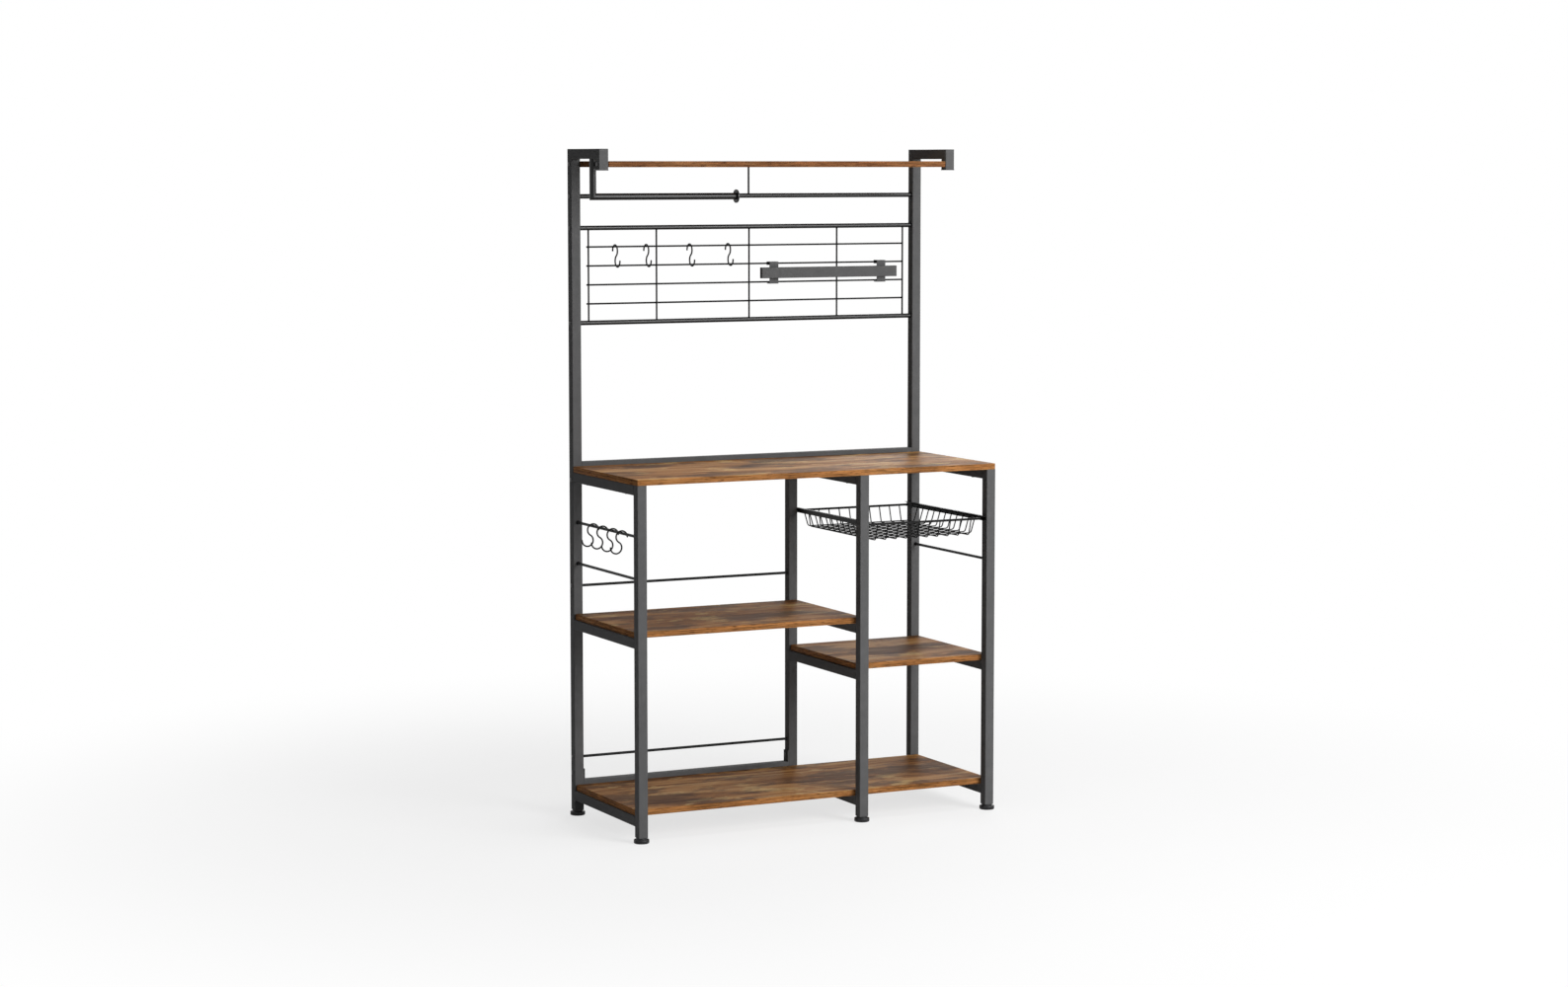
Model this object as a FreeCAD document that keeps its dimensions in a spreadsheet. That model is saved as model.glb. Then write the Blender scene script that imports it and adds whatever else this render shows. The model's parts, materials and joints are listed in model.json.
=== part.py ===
import FreeCAD, Part
import math
import os
from types import SimpleNamespace

import Sketcher
from FreeCAD import Rotation, Vector

# A bakers rack: three welded frames of square tube carry five boards, a wire panel and a pull-out basket.
# X runs to the right, -Y faces the front and Z is up from the floor. Lengths are in millimetres.

SIZES = {
    # Frame of square tube
    "rack_width": 1000,
    "rack_depth": 425,
    "rack_height": 1694.5,
    "tube_width": 25,
    "tube_wall": 1.2,
    "tube_round": 2,
    "arm_reach": 177.5,
    "arm_drop": 28.5,
    "cap_thickness": 2.5,
    "cap_stem": 8,
    # Boards, each height and drop measured to the board's top, and the right shelf's drop from the left shelf
    "board_thickness": 15,
    "board_round": 0.8,
    "board_inset": 4,
    "board_gap": 0.5,
    "bottom_shelf_height": 80,
    "left_shelf_height": 520,
    "right_shelf_drop": 118,
    "desk_height": 896,
    "top_shelf_drop": 30.5,
    "top_shelf_depth": 200,
    # Rear rails of square tube with tabbed end plates
    "rear_rail_rise": 1,
    "plate_thickness": 3,
    "plate_reach": 29,
    "plate_bolt_reach": 20,
    # Thin rods between the posts
    "rod_diameter": 7,
    "hook_rod_drop": 142.6,
    "rear_rod_upper_rise": 70.8,
    "rear_rod_lower_rise": 70.5,
    # Back rails and wire panel
    "rail_diameter": 12,
    "shelf_rail_drop": 118.5,
    "panel_top_drop": 198,
    "panel_height": 239,
    "panel_wire": 4.5,
    "panel_end_gap": 25,
    "panel_overhang": 1,
    "strut_diameter": 5,
    # Towel bar
    "towel_diameter": 17,
    "towel_wall": 1.2,
    "towel_setback": 133.5,
    "towel_drop": 93.5,
    "towel_length": 392.5,
    "towel_stop_diameter": 34,
    "towel_stop_thickness": 3,
    "towel_stop_stem": 12,
    # Knife bar on two clips
    "knife_height": 28,
    "knife_thickness": 12,
    "knife_standoff": 7.5,
    "knife_edge_round": 1.5,
    "magnet_wall": 3,
    "clip_width": 25,
    "clip_sheet": 2,
    "clip_lip": 9,
    # Basket and its runners
    "runner_height": 12,
    "runner_flange": 7,
    "runner_sheet": 1.2,
    "runner_drop": 146,
    "runner_inset": 0.5,
    "rim_wire": 6,
    "rim_setback": 15.5,
    "basket_wire": 3,
    "basket_depth": 42,
    "basket_lean": 12,
    "weld_gap": 0.1,
    # S-hooks
    "hook_wire": 4,
    "hook_radius": 15,
    "hook_turn_angle": 60,
    "side_hook_first": 90,
    "side_hook_second": 30,
    "side_hook_third": 33,
    "side_hook_fourth": 88,
    # Levelling feet
    "foot_height": 14,
    "foot_disc_diameter": 38.5,
    "foot_disc_thickness": 10.5,
    "foot_disc_round": 2.5,
    "foot_neck_diameter": 27,
    "stud_diameter": 8,
    "stud_reach": 16,
    "plug_length": 20,
    # Fasteners
    "bolt_diameter": 4,
    "bolt_bite": 14,
    "bolt_head_diameter": 10,
    "bolt_head_thickness": 3,
    "nut_diameter": 8,
    "nut_thickness": 3.2,
    "screw_diameter": 4,
    "screw_bite": 10,
    "screw_head_diameter": 8,
    "screw_head_thickness": 2.5,
    "screw_spread": 120,
    # Clearances
    "moving_gap": 0.3,
    "stud_gap": 0.05,
    "fit_gap": 0.05,
    "cut_overrun": 1,
}

LONG_WIRE_COUNT = 10
CROSS_WIRE_COUNT = 12
PANEL_CROSS_COUNT = 4

# Places and lengths given as a share of the length that they keep to
LEFT_BAY_SHARE = 0.63275676
GUARD_ROD_SHARE = 0.5527
PANEL_LEFT_SHARE = 0.582
PANEL_RIGHT_SHARE = 0.566
PANEL_HOOK_SHARES = (0.7496, 0.5768, 0.334, 0.1164)
KNIFE_LENGTH_SHARE = 0.395
KNIFE_MIDDLE_SHARE = 0.449
CLIP_SPACING_SHARE = 0.795

HALF_TURN = 180
UPRIGHT = Rotation()
ALONG_X = Rotation(Vector(1, 1, 1), 120)
ALONG_Y = Rotation(Vector(1, 1, 1), 240)
TO_LEFT = Rotation(Vector(0, 1, 0), -90)

doc = FreeCAD.newDocument("bakers_rack")
sheet = doc.addObject("Spreadsheet::Sheet", "Sizes")
for line, (alias, number) in enumerate(SIZES.items(), start=1):
    sheet.set(f"A{line}", alias)
    sheet.set(f"B{line}", str(number))
    sheet.setAlias(f"B{line}", alias)
doc.recompute()


class Size:
    """A number from the sheet, or a sum of such numbers, with the formula that gives it."""

    def __init__(self, value, formula):
        self.value = float(value)
        self.formula = formula

    @staticmethod
    def of(item):
        return item if isinstance(item, Size) else Size(item, str(item))

    def __add__(self, other):
        other = Size.of(other)
        return Size(self.value + other.value, f"({self.formula} + {other.formula})")

    def __sub__(self, other):
        other = Size.of(other)
        return Size(self.value - other.value, f"({self.formula} - {other.formula})")

    def __mul__(self, other):
        other = Size.of(other)
        return Size(self.value * other.value, f"({self.formula} * {other.formula})")

    def __truediv__(self, other):
        other = Size.of(other)
        return Size(self.value / other.value, f"({self.formula} / {other.formula})")

    def __neg__(self):
        return Size(-self.value, f"(0 - {self.formula})")


def sine(angle):
    return Size(math.sin(math.radians(angle.value)), f"sin({angle.formula})")


def cosine(angle):
    return Size(math.cos(math.radians(angle.value)), f"cos({angle.formula})")


def arc_tangent(ratio):
    return Size(math.degrees(math.atan(ratio.value)), f"(atan({ratio.formula}) / 1 deg)")


def arc_cosine(ratio):
    held = min(1.0, ratio.value)
    return Size(math.degrees(math.acos(held)), f"(acos(min(1; {ratio.formula})) / 1 deg)")


def root(square):
    return Size(math.sqrt(square.value), f"sqrt({square.formula})")


s = SimpleNamespace(**{alias: Size(sheet.get(alias), f"Sizes.{alias}") for alias in SIZES})
nodes = []


def bind(item, **sizes):
    """Binds properties of an object to formulas on the sheet."""
    for name, size in sizes.items():
        item.setExpression(name, Size.of(size).formula)


def seat(item, at, turn=UPRIGHT):
    """Turns an object, then binds its place to three formulas."""
    item.Placement = FreeCAD.Placement(Vector(), turn)
    for axis, size in zip("xyz", at):
        item.setExpression(f"Placement.Base.{axis}", Size.of(size).formula)
    return item


def node(item, name):
    """Marks an object as a finished sub-part under its own name."""
    item.Label = name
    nodes.append(item)
    return item


def box(sides, at):
    item = doc.addObject("Part::Box", "box")
    bind(item, Length=sides[0], Width=sides[1], Height=sides[2])
    return seat(item, at)


def cylinder(diameter, length, at, turn=UPRIGHT):
    item = doc.addObject("Part::Cylinder", "cylinder")
    bind(item, Radius=diameter / 2, Height=length)
    return seat(item, at, turn)


def bar_along_x(diameter, start, end, y, z):
    return cylinder(diameter, end - start, (start, y, z), ALONG_X)


def bar_along_y(diameter, start, end, x, z):
    return cylinder(diameter, end - start, (x, start, z), ALONG_Y)


def cut(base, tool):
    item = doc.addObject("Part::Cut", "cut")
    item.Base = base
    item.Tool = tool
    return item


def joined(items):
    item = doc.addObject("Part::MultiFuse", "joined")
    item.Shapes = items
    item.Refine = True
    return item


def group(items):
    item = doc.addObject("Part::Compound", "group")
    item.Links = items
    return item


def sketch_on(body, role):
    plane = next(item for item in body.Origin.OriginFeatures if item.Role == role)
    sketch = body.newObject("Sketcher::SketchObject", "sketch")
    sketch.AttachmentSupport = [(plane, "")]
    sketch.MapMode = "FlatFace"
    return sketch


def hold(sketch, geometry, point, x, y):
    """Holds one point of a sketch at two formulas from the sketch's origin."""
    for kind, size, axis in (("DistanceX", x, -2), ("DistanceY", y, -1)):
        size = Size.of(size)
        if size.value == 0:
            sketch.addConstraint(Sketcher.Constraint("PointOnObject", geometry, point, axis))
            continue
        number = sketch.addConstraint(Sketcher.Constraint(kind, -1, 1, geometry, point, size.value))
        sketch.setExpression(f"Constraints[{number}]", size.formula)


def outline(sketch, corners):
    """Draws a closed outline of straight lines whose corners follow formulas."""
    spots = [Vector(Size.of(x).value, Size.of(y).value, 0) for x, y in corners]
    first = sketch.GeometryCount
    lines = [Part.LineSegment(a, b) for a, b in zip(spots, spots[1:] + spots[:1])]
    sketch.addGeometry(lines, False)
    for i, (x, y) in enumerate(corners):
        after = first + (i + 1) % len(corners)
        sketch.addConstraint(Sketcher.Constraint("Coincident", first + i, 2, after, 1))
        hold(sketch, first + i, 1, x, y)


def circle(sketch, x, y, diameter):
    """Draws a circle whose middle and diameter follow formulas."""
    middle = Vector(Size.of(x).value, Size.of(y).value, 0)
    number = sketch.addGeometry(Part.Circle(middle, Vector(0, 0, 1), diameter.value / 2), False)
    hold(sketch, number, 3, x, y)
    rule = sketch.addConstraint(Sketcher.Constraint("Diameter", number, diameter.value))
    sketch.setExpression(f"Constraints[{rule}]", diameter.formula)


def pad(body, sketch, length):
    feature = body.newObject("PartDesign::Pad", "pad")
    feature.Profile = sketch
    bind(feature, Length=length)
    sketch.Visibility = False
    return feature


def round_edges(body, feature, radius, wanted):
    """Rounds the edges of a feature that a test picks out."""
    doc.recompute()
    edges = feature.Shape.Edges
    names = [f"Edge{i}" for i, edge in enumerate(edges, start=1) if wanted(edge)]
    fillet = body.newObject("PartDesign::Fillet", "rounded")
    fillet.Base = (feature, names)
    bind(fillet, Radius=radius)
    return fillet


def mitre(body, width):
    """Cuts a tube's start at 45 degrees, so that its far side starts one width later."""
    sketch = sketch_on(body, "YZ_Plane")
    outline(sketch, [(0, 0), (width, 0), (width, width)])
    pocket = body.newObject("PartDesign::Pocket", "mitre")
    pocket.Profile = sketch
    pocket.Type = "ThroughAll"
    pocket.Reversed = True
    return pocket


def square_tube(length, at, turn=UPRIGHT, mitred=False):
    """A square tube with rounded long edges, from its lowest corner along its own Z."""
    body = doc.addObject("PartDesign::Body", "square_tube")
    width, wall = s.tube_width, s.tube_wall
    section = sketch_on(body, "XY_Plane")
    outline(section, [(0, 0), (width, 0), (width, width), (0, width)])
    inner = width - wall
    outline(section, [(wall, wall), (inner, wall), (inner, inner), (wall, inner)])
    tube = pad(body, section, length)

    def outer_corner(edge):
        ends = [vertex.Point for vertex in edge.Vertexes]
        upright = abs(ends[0].z - ends[-1].z) > wall.value
        return upright and all(min(abs(v), abs(v - width.value)) < wall.value / 2
                               for v in (ends[0].x, ends[0].y))

    round_edges(body, tube, s.tube_round, outer_corner)
    if mitred:
        mitre(body, width)
    return seat(body, at, turn)


def round_tube(length, at, turn):
    """A mitred tube of the towel bar, whose section stands in the corner of its own X and Y."""
    body = doc.addObject("PartDesign::Body", "round_tube")
    diameter = s.towel_diameter
    section = sketch_on(body, "XY_Plane")
    circle(section, diameter / 2, diameter / 2, diameter)
    circle(section, diameter / 2, diameter / 2, diameter - s.towel_wall * 2)
    pad(body, section, length)
    mitre(body, diameter)
    return seat(body, at, turn)


def board(width, depth, at):
    """A board with eased edges, from its lowest corner."""
    body = doc.addObject("PartDesign::Body", "board")
    face = sketch_on(body, "XY_Plane")
    outline(face, [(0, 0), (width, 0), (width, depth), (0, depth)])
    slab = pad(body, face, s.board_thickness)
    round_edges(body, slab, s.board_round, lambda edge: True)
    return seat(body, at)


# Places that several pieces share
left = -s.rack_width / 2
right = s.rack_width / 2
front = -s.rack_depth / 2
rear = s.rack_depth / 2
front_bay = front + s.tube_width
rear_bay = rear - s.tube_width
left_inner = left + s.tube_width
right_inner = right - s.tube_width
bays_width = right_inner - left_inner - s.tube_width
middle = left_inner + bays_width * LEFT_BAY_SHARE
middle_inner = middle + s.tube_width
half_tube = s.tube_width / 2
left_line = left + half_tube
middle_line = middle + half_tube
right_line = right - half_tube
front_line = front + half_tube
rear_line = rear - half_tube
desk_under = s.desk_height - s.board_thickness
left_shelf_under = s.left_shelf_height - s.board_thickness
right_shelf_under = left_shelf_under - s.right_shelf_drop
bottom_under = s.bottom_shelf_height - s.board_thickness
top_under = s.rack_height - s.top_shelf_drop - s.board_thickness
top_middle = top_under + s.board_thickness / 2
arm_under = s.rack_height - s.tube_width
arm_front = rear_bay - s.arm_reach
arm_line = arm_front + half_tube
leg_end = arm_under - s.arm_drop
desk_rail = desk_under + s.rear_rail_rise
bottom_rail = bottom_under + s.rear_rail_rise
desk_plate_bolt = desk_rail - s.plate_bolt_reach
bottom_plate_bolt = bottom_rail + s.tube_width + s.plate_bolt_reach
hook_rod_height = s.desk_height - s.hook_rod_drop
guard_rod_rise = (hook_rod_height - s.left_shelf_height) * GUARD_ROD_SHARE
guard_rod_height = s.left_shelf_height + guard_rod_rise
rear_rod_upper_height = s.left_shelf_height + s.rear_rod_upper_rise
rear_rod_lower_height = s.bottom_shelf_height + s.rear_rod_lower_rise
shelf_rail_height = s.rack_height - s.shelf_rail_drop
panel_top_height = s.rack_height - s.panel_top_drop
panel_bottom_height = panel_top_height - s.panel_height
panel_pitch = s.panel_height / (PANEL_CROSS_COUNT + 1)

# Fasteners: bolts along X through the rear posts and the drop legs, and screws up through the side rails
rail_heights = [shelf_rail_height, panel_top_height, panel_bottom_height]
rod_heights = [rear_rod_upper_height, rear_rod_lower_height]
right_bolts = [top_middle, *rail_heights, desk_plate_bolt]
middle_bolts = [*rod_heights, bottom_plate_bolt]
left_bolts = right_bolts + middle_bolts
bolt_spots = [(left, rear_line, z, ALONG_X, 1) for z in left_bolts]
bolt_spots += [(right, rear_line, z, TO_LEFT, -1) for z in right_bolts]
bolt_spots += [(middle_inner, rear_line, z, TO_LEFT, -1) for z in middle_bolts]
bolt_spots += [(left, arm_line, top_middle, ALONG_X, 1), (right, arm_line, top_middle, TO_LEFT, -1)]

left_levels = [bottom_under, left_shelf_under, desk_under]
middle_levels = [bottom_under, right_shelf_under, left_shelf_under, desk_under]
right_levels = [bottom_under, right_shelf_under, desk_under]
frames = [(left, left_levels), (middle, middle_levels), (right_inner, right_levels)]
screw_spots = [
    (x + half_tube, y, level - s.tube_width)
    for x, levels in frames
    for level in levels
    for y in (-s.screw_spread, s.screw_spread)
]


def bolt(x, y, z, turn, way):
    shank = cylinder(s.bolt_diameter, s.tube_width + s.bolt_bite, (x, y, z), turn)
    head_at = (x - s.bolt_head_thickness * way, y, z)
    head = cylinder(s.bolt_head_diameter, s.bolt_head_thickness, head_at, turn)
    return joined([shank, head])


def bolt_hole(x, y, z, turn, way):
    length = s.tube_width + s.bolt_bite + s.cut_overrun * 2
    return cylinder(s.bolt_diameter + s.fit_gap * 2, length, (x - s.cut_overrun * way, y, z), turn)


def screw(x, y, z):
    shank = cylinder(s.screw_diameter, s.tube_width + s.screw_bite, (x, y, z))
    head = cylinder(s.screw_head_diameter, s.screw_head_thickness, (x, y, z - s.screw_head_thickness))
    return joined([shank, head])


def screw_hole(x, y, z):
    length = s.tube_width + s.screw_bite + s.cut_overrun * 2
    return cylinder(s.screw_diameter + s.fit_gap * 2, length, (x, y, z - s.cut_overrun))


def nut(x, y, z, turn):
    """A round weld nut that leaves room for its bolt."""
    bore = s.bolt_diameter + s.fit_gap * 2
    hole = cylinder(bore, s.nut_thickness, (x, y, z), turn)
    return cut(cylinder(s.nut_diameter, s.nut_thickness, (x, y, z), turn), hole)


bolt_holes = group([bolt_hole(*spot) for spot in bolt_spots])
screw_holes = group([screw_hole(*spot) for spot in screw_spots])
node(group([bolt(*spot) for spot in bolt_spots]), "frame_bolts")
node(group([screw(*spot) for spot in screw_spots]), "board_screws")

# Posts
rear_height = s.rack_height - s.foot_height
middle_height = desk_rail - s.foot_height
front_height = desk_under - s.foot_height
node(cut(square_tube(rear_height, (left, rear_bay, s.foot_height)), bolt_holes), "rear_left_post")
node(cut(square_tube(rear_height, (right_inner, rear_bay, s.foot_height)), bolt_holes), "rear_right_post")
node(cut(square_tube(middle_height, (middle, rear_bay, s.foot_height)), bolt_holes), "rear_middle_post")
for name, x in (("left", left), ("middle", middle), ("right", right_inner)):
    node(square_tube(front_height, (x, front, s.foot_height)), f"front_{name}_post")

# Side rails that carry the boards from front to rear
rail_span = rear_bay - front_bay
for name, (x, levels) in zip(("left", "middle", "right"), frames):
    rails = [square_tube(rail_span, (x, front_bay, level - s.tube_width), ALONG_Y) for level in levels]
    node(cut(group(rails), screw_holes), f"{name}_side_rails")

# Top arms, each a level tube and a drop leg that meet in a mitre
arm_turn = Rotation(Vector(1, 0, 0), -90)
leg_turn = Rotation(Vector(0, 1, 0), HALF_TURN)
leg_length = s.rack_height - leg_end - s.cap_thickness
for name, x in (("left", left), ("right", right_inner)):
    arm = square_tube(s.arm_reach, (x, arm_front, s.rack_height), arm_turn, mitred=True)
    leg = square_tube(leg_length, (x + s.tube_width, arm_front, s.rack_height), leg_turn, mitred=True)
    node(group([arm, cut(leg, bolt_holes)]), f"top_arm_{name}")

# Caps in the open tube ends: under the drop legs and on the rear posts
stem_width = s.tube_width - s.tube_wall * 2 - s.fit_gap * 2
stem_inset = s.tube_wall + s.fit_gap


def leg_cap(x):
    plate = box((s.tube_width, s.tube_width, s.cap_thickness), (x, arm_front, leg_end))
    stem_at = (x + stem_inset, arm_front + stem_inset, leg_end + s.cap_thickness)
    stem = box((stem_width, stem_width, top_under - leg_end - s.cap_thickness), stem_at)
    return joined([plate, stem])


def post_cap(x):
    """A plug that closes the post's top, flush with its edge."""
    plug_at = (x + stem_inset, rear_bay + stem_inset, s.rack_height - s.cap_stem)
    return box((stem_width, stem_width, s.cap_stem), plug_at)


node(group([leg_cap(left), leg_cap(right_inner), post_cap(left), post_cap(right_inner)]), "tube_end_caps")

# Boards
shelf_depth = rail_span - s.board_gap * 2
shelf_front = front_bay + s.board_gap
desk_depth = rear_bay - front - s.board_gap
shelves = {
    "bottom_shelf": (left, right, bottom_under),
    "left_shelf": (left, middle_inner, left_shelf_under),
    "right_shelf": (middle, right, right_shelf_under),
}
for name, (start, end, under) in shelves.items():
    width = end - start - s.board_inset * 2
    node(cut(board(width, shelf_depth, (start + s.board_inset, shelf_front, under)), screw_holes), name)
node(cut(board(s.rack_width, desk_depth, (left, front, desk_under)), screw_holes), "desk_top")
top_board = board(right_inner - left_inner, s.top_shelf_depth, (left_inner, arm_front, top_under))
node(cut(top_board, bolt_holes), "top_shelf")

# Rear rails with an end plate at each post
def rear_rail(name, end, level, tab_down):
    """A square tube between two end plates that reach down or up to their bolts."""
    tube_start = left_inner + s.plate_thickness
    tube = square_tube(end - s.plate_thickness - tube_start, (tube_start, rear_bay, level), ALONG_X)
    plate_under = level - s.plate_reach if tab_down else level
    sides = (s.plate_thickness, s.tube_width, s.tube_width + s.plate_reach)
    plates = [box(sides, (x, rear_bay, plate_under)) for x in (left_inner, end - s.plate_thickness)]
    node(tube, f"rear_{name}_rail")
    return [cut(plate, bolt_holes) for plate in plates]


plates = rear_rail("desk", right_inner, desk_rail, True) + rear_rail("bottom", middle, bottom_rail, False)
node(group(plates), "rear_rail_plates")
left_nut = left_inner + s.plate_thickness
nut_spots = [
    (left_nut, desk_plate_bolt, ALONG_X),
    (left_nut, bottom_plate_bolt, ALONG_X),
    (right_inner - s.plate_thickness, desk_plate_bolt, TO_LEFT),
    (middle - s.plate_thickness, bottom_plate_bolt, TO_LEFT),
]
node(group([nut(x, rear_line, z, turn) for x, z, turn in nut_spots]), "plate_nuts")

# Rods welded into the side frames
side_rods = {
    "left_hook_rod": (left_line, hook_rod_height),
    "left_guard_rod": (left_line, guard_rod_height),
    "right_guard_rod": (right_line, guard_rod_height),
}
for name, (x, z) in side_rods.items():
    node(bar_along_y(s.rod_diameter, front_bay, rear_bay, x, z), name)

# Rods and rails bolted between the rear posts
rear_rods = [bar_along_x(s.rod_diameter, left_inner, middle, rear_line, z) for z in rod_heights]
node(cut(group(rear_rods), bolt_holes), "rear_rods")
for name, z in zip(("shelf_rail", "panel_top_rail", "panel_bottom_rail"), rail_heights):
    rail = bar_along_x(s.rail_diameter, left_inner, right_inner, rear_line, z)
    node(cut(rail, bolt_holes), name)
strut_foot = shelf_rail_height + s.rail_diameter / 2
node(cylinder(s.strut_diameter, top_under - strut_foot, (0, rear_line, strut_foot)), "shelf_strut")

# Wire panel: uprights stand between the two panel rails, and level wires lie behind them
upright_foot = panel_bottom_height + s.rail_diameter / 2
upright_length = s.panel_height - s.rail_diameter
upright_y = rear_line - s.panel_wire / 2
level_y = rear_line + s.panel_wire / 2 + s.fit_gap
outer = right_inner - s.panel_end_gap
upright_places = [-outer, -outer * PANEL_LEFT_SHARE, 0, outer * PANEL_RIGHT_SHARE, outer]
uprights = [cylinder(s.panel_wire, upright_length, (x, upright_y, upright_foot)) for x in upright_places]
node(group(uprights), "panel_upright_wires")
level_reach = outer + s.panel_wire / 2 + s.panel_overhang
level_heights = [panel_bottom_height + panel_pitch * (i + 1) for i in range(PANEL_CROSS_COUNT)]
levels = [bar_along_x(s.panel_wire, -level_reach, level_reach, level_y, z) for z in level_heights]
node(group(levels), "panel_level_wires")

# Towel bar: a drop tube under the left arm, a level bar and a stop at its end
towel_y = rear - s.towel_setback
towel_half = s.towel_diameter / 2
towel_z = arm_under - s.towel_drop
towel_corner = (left_line - towel_half, towel_y - towel_half, towel_z - towel_half)
drop_turn = Rotation(Vector(0, 0, 1), -90)
drop_at = (left_line - towel_half, towel_y + towel_half, towel_z - towel_half)
node(round_tube(s.towel_drop + towel_half, drop_at, drop_turn), "towel_drop_tube")
node(round_tube(s.towel_length + towel_half, towel_corner, ALONG_X), "towel_bar")
bar_end = left_line + s.towel_length
stop_disc = bar_along_x(s.towel_stop_diameter, bar_end, bar_end + s.towel_stop_thickness, towel_y, towel_z)
stop_bore = s.towel_diameter - s.towel_wall * 2 - s.fit_gap * 2
stop_stem = bar_along_x(stop_bore, bar_end - s.towel_stop_stem, bar_end, towel_y, towel_z)
node(joined([stop_disc, stop_stem]), "towel_stop")

# Knife bar: a shell open at the back, its magnet, and two clips between a pair of level wires
bar_back = upright_y - s.panel_wire / 2 - s.knife_standoff
bar_front = bar_back - s.knife_thickness
knife_length = s.rack_width * KNIFE_LENGTH_SHARE
knife_middle = right * KNIFE_MIDDLE_SHARE
bar_left = knife_middle - knife_length / 2
clip_top_wire = level_heights[2]
clip_low_wire = level_heights[1]
bar_under = (clip_top_wire + clip_low_wire) / 2 - s.knife_height / 2
shell = doc.addObject("PartDesign::Body", "knife_shell")
face = sketch_on(shell, "XY_Plane")
outline(face, [(0, 0), (knife_length, 0), (knife_length, s.knife_thickness), (0, s.knife_thickness)])
block = pad(shell, face, s.knife_height)
round_edges(shell, block, s.knife_edge_round, lambda edge: edge.BoundBox.YMax < s.magnet_wall.value)
seat(shell, (bar_left, bar_front, bar_under))
magnet_sides = (
    knife_length - s.magnet_wall * 2,
    s.knife_thickness - s.magnet_wall,
    s.knife_height - s.magnet_wall * 2,
)
magnet_at = (bar_left + s.magnet_wall, bar_front + s.magnet_wall, bar_under + s.magnet_wall)
node(cut(shell, box(magnet_sides, magnet_at)), "knife_bar")
snug_sides = tuple(side - s.fit_gap * 2 for side in magnet_sides)
node(box(snug_sides, tuple(place + s.fit_gap for place in magnet_at)), "knife_magnet")

# The clip's profile, in depth behind the bar and in height above its lowest edge
wire_room = s.panel_wire / 2 + s.moving_gap
clip_foot = clip_low_wire - wire_room - s.clip_sheet
clip_rise = clip_top_wire + wire_room + s.clip_sheet - clip_foot
clip_back = level_y + wire_room - bar_back
sheet_rise = clip_rise - s.clip_sheet
clip_profile = [
    (0, 0),
    (clip_back, 0),
    (clip_back, s.clip_sheet),
    (s.clip_sheet, s.clip_sheet),
    (s.clip_sheet, sheet_rise),
    (clip_back, sheet_rise),
    (clip_back, clip_rise - s.clip_lip),
    (clip_back + s.clip_sheet, clip_rise - s.clip_lip),
    (clip_back + s.clip_sheet, clip_rise),
    (0, clip_rise),
]
clip_spacing = knife_length * CLIP_SPACING_SHARE
clips = []
for way in (-1, 1):
    clip = doc.addObject("PartDesign::Body", "clip")
    profile = sketch_on(clip, "YZ_Plane")
    outline(profile, clip_profile)
    pad(clip, profile, s.clip_width)
    clip_x = knife_middle + clip_spacing / 2 * way - s.clip_width / 2
    clips.append(seat(clip, (clip_x, bar_back, clip_foot)))
node(group(clips), "knife_clips")

# Runners: channels on the inner faces of the right bay's posts
runner_level = s.desk_height - s.runner_drop
runner_front = front + s.runner_inset
runner_length = s.rack_depth - s.runner_inset * 2
channel_height = s.runner_height - s.runner_sheet * 2
for name, x, inside in (
    ("left", middle_inner, middle_inner + s.runner_sheet),
    ("right", right_inner - s.runner_flange, right_inner - s.runner_flange - s.cut_overrun),
):
    blank = box((s.runner_flange, runner_length, s.runner_height), (x, runner_front, runner_level))
    hollow_sides = (
        s.runner_flange - s.runner_sheet + s.cut_overrun,
        runner_length + s.cut_overrun * 2,
        channel_height,
    )
    hollow_at = (inside, runner_front - s.cut_overrun, runner_level + s.runner_sheet)
    node(cut(blank, box(hollow_sides, hollow_at)), f"basket_runner_{name}")

# Basket rim: side rods that ride in the runners, and end rods between them
rim_half = s.rim_wire / 2
rim_left = middle_inner + s.runner_sheet + s.moving_gap + rim_half
rim_right = right_inner - s.runner_sheet - s.moving_gap - rim_half
rim_z = runner_level + s.runner_sheet + s.moving_gap + rim_half
rim_front = front + s.rim_setback
rim_rear = rear - s.rim_setback
rim_ends = rim_front - rim_half, rim_rear + rim_half
rim_sides = rim_left + rim_half, rim_right - rim_half
rim_rods = [bar_along_y(s.rim_wire, *rim_ends, x, rim_z) for x in (rim_left, rim_right)]
rim_rods += [bar_along_x(s.rim_wire, *rim_sides, y, rim_z) for y in (rim_front, rim_rear)]
node(group(rim_rods), "basket_rim")

# Basket wires: two layers of floor wires, with a leaning wall wire up to the rim at each end of a floor wire
wire_half = s.basket_wire / 2
wall_offset = rim_half + wire_half + s.weld_gap
low_floor = rim_z - s.basket_depth
high_floor = low_floor + s.basket_wire + s.fit_gap


def row(start, end, count):
    """Evenly spaced places between two rim rods."""
    pitch = (end - start) / (count + 1)
    return [start + pitch * (i + 1) for i in range(count)]


def wall_wire(x, y, floor, axis, way):
    """A wall wire that leans towards the basket's middle as it runs down to just above its floor wire."""
    rise = rim_z - floor
    lean = arc_tangent(s.basket_lean / rise)
    length = root(s.basket_lean * s.basket_lean + rise * rise)
    clear = wire_half * (sine(lean) + 1) + s.weld_gap
    item = cylinder(s.basket_wire, length - clear, (x, y, rim_z))
    item.Placement = FreeCAD.Placement(Vector(), Rotation(axis, HALF_TURN))
    bind(item, **{"Placement.Rotation.Angle": lean * way + HALF_TURN})
    return item


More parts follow.
